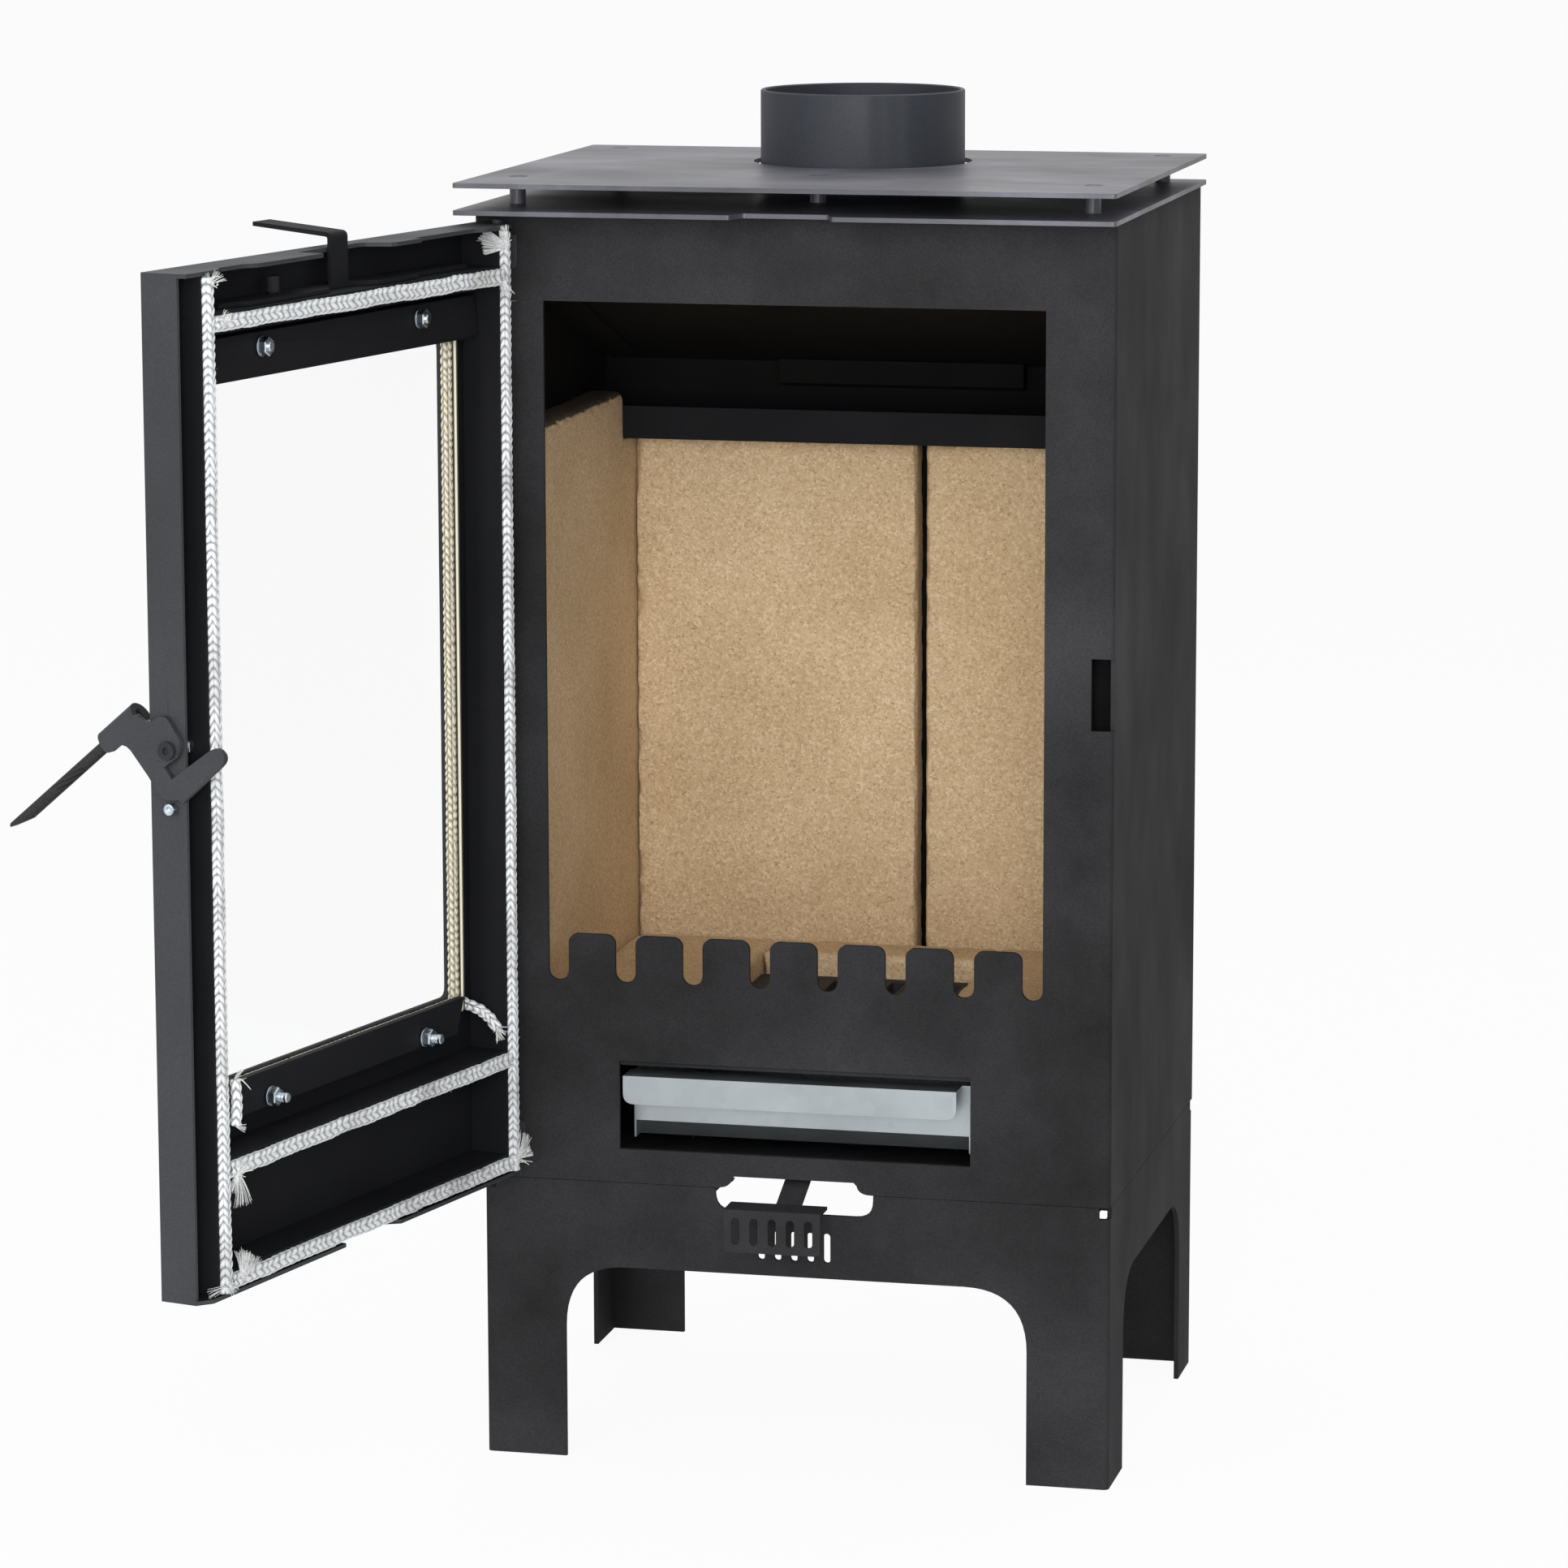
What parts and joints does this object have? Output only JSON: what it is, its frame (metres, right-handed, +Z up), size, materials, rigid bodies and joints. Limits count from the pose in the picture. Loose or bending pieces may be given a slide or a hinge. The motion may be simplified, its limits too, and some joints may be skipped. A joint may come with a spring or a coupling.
{
  "type": "wood stove",
  "caption": "Small upright wood stove of folded sheet steel on a four-legged stand, with a hinged glazed door, lined firebox, grate, ash pan and top flue collar.",
  "frame": {"origin": "on the floor, under the middle of the bounding box of the stove with its door standing open as modelled", "axes": "+Z up; the stove's front faces -Y; the door is hinged on the -X side of the front"},
  "size_m": [0.5868, 0.6958, 0.852],
  "materials": {
    "black_paint": "matt heat-resistant black paint",
    "top_plate_paint": "satin heat-resistant black paint",
    "vermiculite": "pressed flake board, matt",
    "cast_iron": "as cast",
    "dark_steel": "matt black",
    "glass_fibre_rope": "braided, fuzzy",
    "galvanised_steel": "galvanised sheet",
    "zinc_plated_steel": "bright zinc plate",
    "ceramic_glass": "clear"
  },
  "bodies": {
    "stove": {"stand": "black_paint", "casing": "black_paint", "back_panel": "black_paint", "flue_collar": "black_paint", "hearth_sheet": "black_paint", "brick_retainer": "black_paint", "air_hood": "black_paint", "baffle": "black_paint", "baffle_rail_left": "black_paint", "baffle_rail_right": "black_paint", "ash_floor": "black_paint", "hinge_bracket_upper": "black_paint", "hinge_bracket_lower": "black_paint", "ash_runner_left": "black_paint", "ash_runner_right": "black_paint", "lower_top_plate": "top_plate_paint", "upper_top_plate": "top_plate_paint", "brick_left": "vermiculite", "brick_right": "vermiculite", "brick_back_left": "vermiculite", "brick_back_right": "vermiculite", "brick_hearth_left": "vermiculite", "brick_hearth_right": "vermiculite", "brick_hearth_front": "vermiculite", "brick_hearth_rear": "vermiculite", "grate": "cast_iron", "hinge_pin_upper": "zinc_plated_steel", "hinge_pin_lower": "zinc_plated_steel", "hinge_screw_upper": "zinc_plated_steel", "hinge_screw_lower": "zinc_plated_steel"},
    "door": {"door_panel": "black_paint", "rope_channel_free": "black_paint", "rope_channel_hinge": "black_paint", "rope_channel_top": "black_paint", "rope_channel_middle": "black_paint", "rope_channel_bottom": "black_paint", "rope_free": "glass_fibre_rope", "rope_hinge": "glass_fibre_rope", "rope_top": "glass_fibre_rope", "rope_middle": "glass_fibre_rope", "rope_bottom": "glass_fibre_rope", "glass_pane": "ceramic_glass", "glass_gasket": "glass_fibre_rope", "clamp_top": "black_paint", "clamp_bottom": "black_paint", "clamp_stud_top_free": "zinc_plated_steel", "clamp_stud_top_hinge": "zinc_plated_steel", "clamp_stud_bottom_free": "zinc_plated_steel", "clamp_stud_bottom_hinge": "zinc_plated_steel", "latch_pivot": "black_paint", "latch_stop": "zinc_plated_steel", "wash_pin": "zinc_plated_steel"},
    "air_wash": {"wash_slider": "black_paint"},
    "latch": {"latch_plate": "black_paint", "latch_grip": "dark_steel"},
    "pan": {"ash_pan": "galvanised_steel"},
    "air_control": {"air_slider": "black_paint"}
  },
  "joints": [
    {"name": "door_hinge", "type": "hinge", "parent": "stove", "child": "door", "pos_m": [-0.09205, 0.02318, 0.48], "axis": [0, 0, -1], "range_deg": [-104.1, 10.9]},
    {"name": "latch_pivot", "type": "hinge", "parent": "door", "child": "latch", "pos_m": [-0.18486, -0.33686, 0.5124], "axis": [-0.2436, -0.9699, 0], "range_deg": [-10, 24]},
    {"name": "air_wash_slide", "type": "slide", "parent": "door", "child": "air_wash", "axis": [-0.2436, -0.9699, 0], "range_m": [-0.015, 0.015]},
    {"name": "ash_pan_slide", "type": "slide", "parent": "stove", "child": "pan", "axis": [0, -1, 0], "range_m": [0, 0.24]},
    {"name": "air_slide", "type": "slide", "parent": "stove", "child": "air_control", "axis": [0, -1, 0], "range_m": [0, 0.045]}
  ]
}
